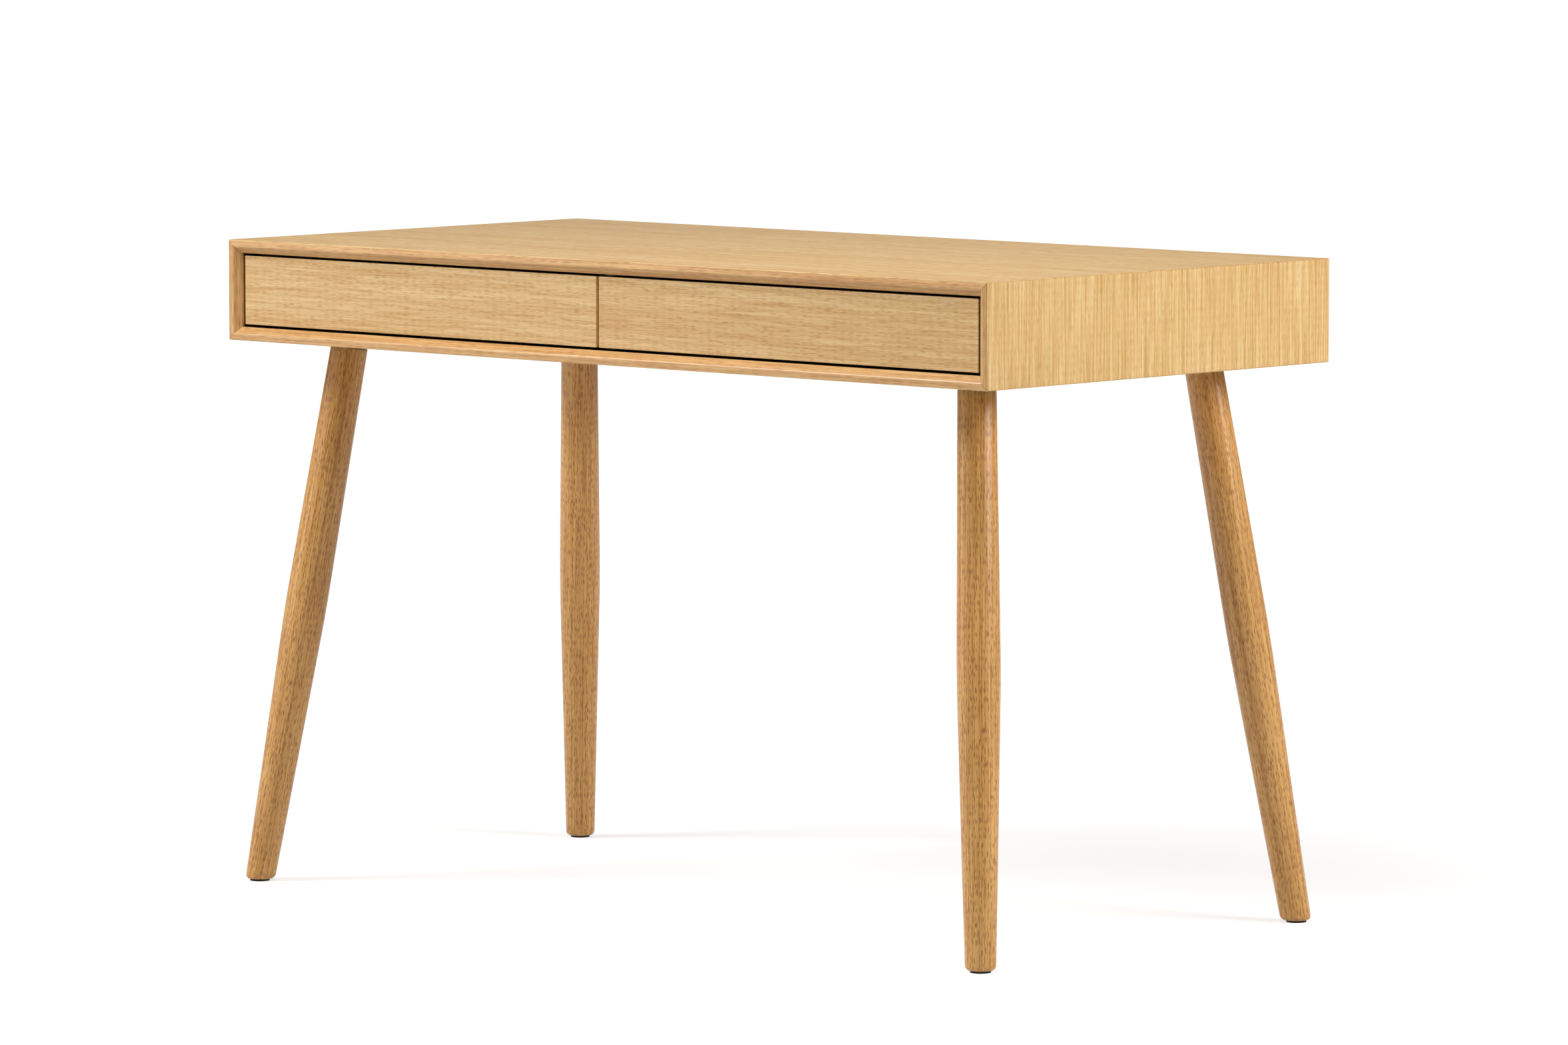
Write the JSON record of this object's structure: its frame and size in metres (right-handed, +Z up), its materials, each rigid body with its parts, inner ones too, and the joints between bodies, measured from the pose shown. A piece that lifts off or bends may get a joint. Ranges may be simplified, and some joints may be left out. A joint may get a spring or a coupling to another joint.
{
  "type": "writing desk with drawers",
  "caption": "Oak writing desk: a shallow mitred case with flush handleless drawers, on splayed turned legs that swell at mid-length.",
  "frame": {"origin": "on the floor, under the middle of the desk", "axes": "+X along the desk's length, +Y from the drawer fronts to the back, +Z up"},
  "size_m": [1.2, 0.6, 0.77],
  "materials": {
    "oak_veneer": "satin lacquered oak veneer",
    "oak_solid": "satin lacquered solid oak",
    "oak_turned": "satin oiled oak, a darker honey brown",
    "oak_inside": "matt lacquered oak drawer board",
    "zinc_steel": "zinc plated sheet steel",
    "cage_steel": "plain stamped steel",
    "plate_steel": "dark blue-grey satin coating",
    "latch_plastic": "matt moulded",
    "tip_plastic": "soft moulded",
    "felt": "dark pressed felt"
  },
  "bodies": {
    "case": {"case_top_panel": "oak_veneer", "case_bottom_panel": "oak_veneer", "case_left_panel": "oak_veneer", "case_right_panel": "oak_veneer", "case_back_panel": "oak_veneer", "centre_divider": "oak_inside", "front_lipping_top": "oak_solid", "front_lipping_bottom": "oak_solid", "front_lipping_left": "oak_solid", "front_lipping_right": "oak_solid", "leg_front_left": "oak_turned", "leg_front_right": "oak_turned", "leg_rear_left": "oak_turned", "leg_rear_right": "oak_turned", "leg_plate_front_left": "plate_steel", "leg_plate_front_right": "plate_steel", "leg_plate_rear_left": "plate_steel", "leg_plate_rear_right": "plate_steel", "leg_bolt_front_left": "zinc_steel", "leg_bolt_front_right": "zinc_steel", "leg_bolt_rear_left": "zinc_steel", "leg_bolt_rear_right": "zinc_steel", "foot_pad_front_left": "felt", "foot_pad_front_right": "felt", "foot_pad_rear_left": "felt", "foot_pad_rear_right": "felt", "slide_left_outer_case_member": "zinc_steel", "slide_left_inner_case_member": "zinc_steel", "push_latch_left_barrel": "latch_plastic", "slide_right_outer_case_member": "zinc_steel", "slide_right_inner_case_member": "zinc_steel", "push_latch_right_barrel": "latch_plastic"},
    "drawer_left": {"drawer_left_front": "oak_veneer", "drawer_left_outer_side": "oak_inside", "drawer_left_inner_side": "oak_inside", "drawer_left_back": "oak_inside", "drawer_left_bottom": "oak_inside", "slide_left_outer_drawer_member": "zinc_steel", "slide_left_inner_drawer_member": "zinc_steel"},
    "middle_members_left": {"slide_left_outer_middle_member": "zinc_steel", "slide_left_inner_middle_member": "zinc_steel"},
    "case_cages_left": {"slide_left_outer_case_cage": "cage_steel", "slide_left_inner_case_cage": "cage_steel"},
    "drawer_cages_left": {"slide_left_outer_drawer_cage": "cage_steel", "slide_left_inner_drawer_cage": "cage_steel"},
    "plunger_left": {"push_latch_left_plunger": "tip_plastic"},
    "drawer_right": {"drawer_right_front": "oak_veneer", "drawer_right_outer_side": "oak_inside", "drawer_right_inner_side": "oak_inside", "drawer_right_back": "oak_inside", "drawer_right_bottom": "oak_inside", "slide_right_outer_drawer_member": "zinc_steel", "slide_right_inner_drawer_member": "zinc_steel"},
    "middle_members_right": {"slide_right_outer_middle_member": "zinc_steel", "slide_right_inner_middle_member": "zinc_steel"},
    "case_cages_right": {"slide_right_outer_case_cage": "cage_steel", "slide_right_inner_case_cage": "cage_steel"},
    "drawer_cages_right": {"slide_right_outer_drawer_cage": "cage_steel", "slide_right_inner_drawer_cage": "cage_steel"},
    "plunger_right": {"push_latch_right_plunger": "tip_plastic"}
  },
  "joints": [
    {"name": "drawer_left_slide", "type": "slide", "parent": "case", "child": "drawer_left", "axis": [0, -1, 0], "range_m": [-0.003, 0.4]},
    {"name": "middle_members_left_slide", "type": "slide", "parent": "case", "child": "middle_members_left", "axis": [0, -1, 0], "range_m": [-0.0016, 0.201]},
    {"name": "case_cages_left_slide", "type": "slide", "parent": "case", "child": "case_cages_left", "axis": [0, -1, 0], "range_m": [-0.00085, 0.101]},
    {"name": "drawer_cages_left_slide", "type": "slide", "parent": "case", "child": "drawer_cages_left", "axis": [0, -1, 0], "range_m": [-0.00235, 0.301]},
    {"name": "push_plunger_left_slide", "type": "slide", "parent": "case", "child": "plunger_left", "axis": [0, 1, 0], "range_m": [0, 0.003], "stiffness_N_per_m": 1500, "springref_m": -0.002},
    {"name": "drawer_right_slide", "type": "slide", "parent": "case", "child": "drawer_right", "axis": [0, -1, 0], "range_m": [-0.003, 0.4]},
    {"name": "middle_members_right_slide", "type": "slide", "parent": "case", "child": "middle_members_right", "axis": [0, -1, 0], "range_m": [-0.0016, 0.201]},
    {"name": "case_cages_right_slide", "type": "slide", "parent": "case", "child": "case_cages_right", "axis": [0, -1, 0], "range_m": [-0.00085, 0.101]},
    {"name": "drawer_cages_right_slide", "type": "slide", "parent": "case", "child": "drawer_cages_right", "axis": [0, -1, 0], "range_m": [-0.00235, 0.301]},
    {"name": "push_plunger_right_slide", "type": "slide", "parent": "case", "child": "plunger_right", "axis": [0, 1, 0], "range_m": [0, 0.003], "stiffness_N_per_m": 1500, "springref_m": -0.002}
  ],
  "couplings": [
    {"joint": "middle_members_left_slide", "follows": "drawer_left_slide", "ratio": 0.5},
    {"joint": "case_cages_left_slide", "follows": "drawer_left_slide", "ratio": 0.25},
    {"joint": "drawer_cages_left_slide", "follows": "drawer_left_slide", "ratio": 0.75},
    {"joint": "middle_members_right_slide", "follows": "drawer_right_slide", "ratio": 0.5},
    {"joint": "case_cages_right_slide", "follows": "drawer_right_slide", "ratio": 0.25},
    {"joint": "drawer_cages_right_slide", "follows": "drawer_right_slide", "ratio": 0.75}
  ]
}
